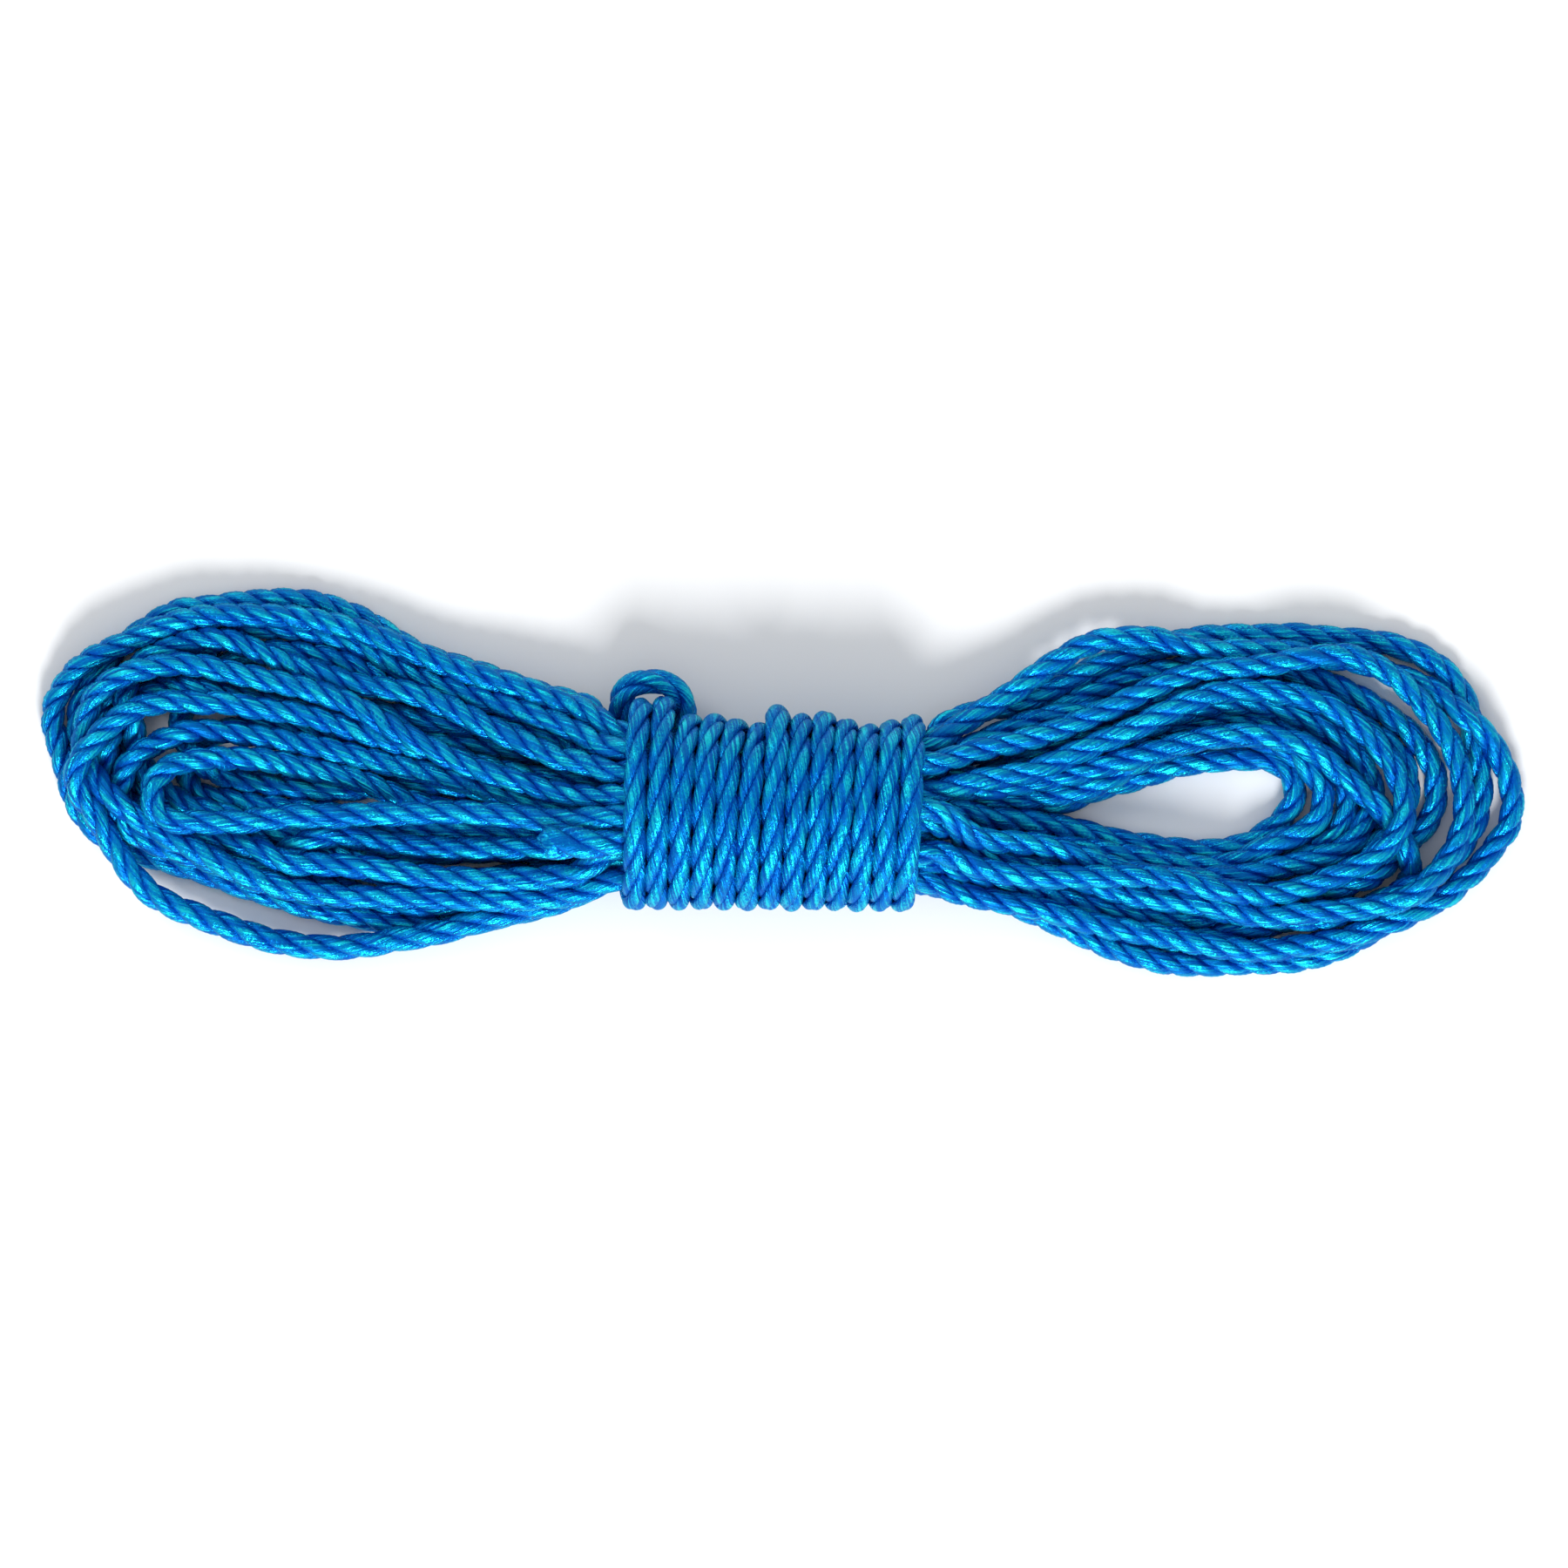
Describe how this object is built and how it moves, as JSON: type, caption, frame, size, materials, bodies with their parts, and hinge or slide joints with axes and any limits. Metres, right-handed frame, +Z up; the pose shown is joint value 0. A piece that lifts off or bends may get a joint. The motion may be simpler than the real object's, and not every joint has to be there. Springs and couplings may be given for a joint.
{
  "type": "rope hank",
  "caption": "Hank of bright blue laid rope: long loops gathered at the waist and bound by close turns of its own working end.",
  "frame": {"origin": "the middle of the hank's footprint, on the surface that it rests on", "axes": "+X along the hank, towards the end with the larger open loop; +Y across it, towards the side with the starting hitch; +Z up, away from the surface that it rests on"},
  "size_m": [0.3786, 0.0982, 0.0385],
  "materials": {
    "rope": "glossy multifilament",
    "fused_tip": "glossy, melted"
  },
  "bodies": {
    "root": {"fused_tip_buried": "fused_tip", "left_loop_01": "rope", "right_loop_01": "rope", "left_loop_02": "rope", "right_loop_02": "rope", "left_loop_03": "rope", "right_loop_03": "rope", "left_loop_04": "rope", "right_loop_04": "rope", "left_loop_05": "rope", "right_loop_05": "rope", "left_loop_06": "rope", "right_loop_06": "rope", "left_loop_07": "rope", "right_loop_07": "rope", "left_loop_08": "rope", "right_loop_08": "rope", "left_loop_09": "rope", "right_loop_09": "rope", "left_loop_10": "rope", "right_loop_10": "rope", "left_loop_11": "rope", "right_loop_11": "rope", "starting_hitch": "rope", "binding_turns_01_04": "rope", "binding_turns_05_06": "rope", "binding_turns_07_10": "rope", "binding_turns_11_13": "rope", "tucked_end": "rope", "fused_tip_tail": "fused_tip"}
  },
  "joints": []
}
